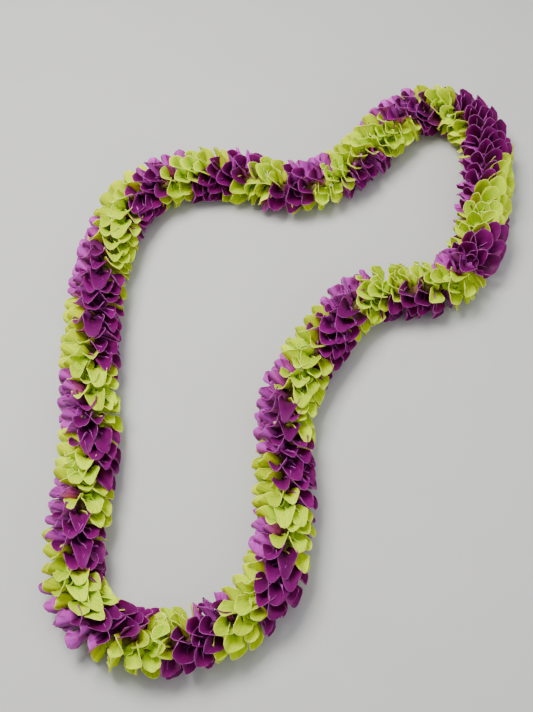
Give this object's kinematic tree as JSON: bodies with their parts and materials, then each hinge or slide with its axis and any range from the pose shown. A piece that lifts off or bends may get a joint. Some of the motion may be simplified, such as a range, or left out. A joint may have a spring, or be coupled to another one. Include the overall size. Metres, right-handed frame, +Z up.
{
  "type": "fresh flower lei",
  "caption": "Closed garland of purple and lime green orchid blossoms strung back to back on a thread, the two colours winding round each other, laid flat in an open loop.",
  "frame": {"origin": "on the surface under the middle of the box round the loop", "axes": "+Z up from the surface it lies on, +Y towards the top of the loop, along its longest side, +X to the right seen from above"},
  "size_m": [0.3738, 0.5143, 0.041],
  "materials": {
    "purple_petal": "satin, dark inside the petal, lilac on its back",
    "green_petal": "satin, with a pale edge",
    "thread": "matt"
  },
  "bodies": {
    "root": {"purple_blossoms_01": "purple_petal", "green_blossoms_01": "green_petal", "purple_blossoms_02": "purple_petal", "green_blossoms_02": "green_petal", "purple_blossoms_03": "purple_petal", "green_blossoms_03": "green_petal", "purple_blossoms_04": "purple_petal", "green_blossoms_04": "green_petal", "purple_blossoms_05": "purple_petal", "green_blossoms_05": "green_petal", "purple_blossoms_06": "purple_petal", "green_blossoms_06": "green_petal", "purple_blossoms_07": "purple_petal", "green_blossoms_07": "green_petal", "purple_blossoms_08": "purple_petal", "green_blossoms_08": "green_petal", "purple_blossoms_09": "purple_petal", "green_blossoms_09": "green_petal", "purple_blossoms_10": "purple_petal", "green_blossoms_10": "green_petal", "purple_blossoms_11": "purple_petal", "green_blossoms_11": "green_petal", "purple_blossoms_12": "purple_petal", "green_blossoms_12": "green_petal", "purple_blossoms_13": "purple_petal", "green_blossoms_13": "green_petal", "purple_blossoms_14": "purple_petal", "green_blossoms_14": "green_petal", "purple_blossoms_15": "purple_petal", "green_blossoms_15": "green_petal", "purple_blossoms_16": "purple_petal", "green_blossoms_16": "green_petal", "purple_blossoms_17": "purple_petal", "green_blossoms_17": "green_petal", "purple_blossoms_18": "purple_petal", "green_blossoms_18": "green_petal", "thread": "thread"}
  },
  "joints": []
}
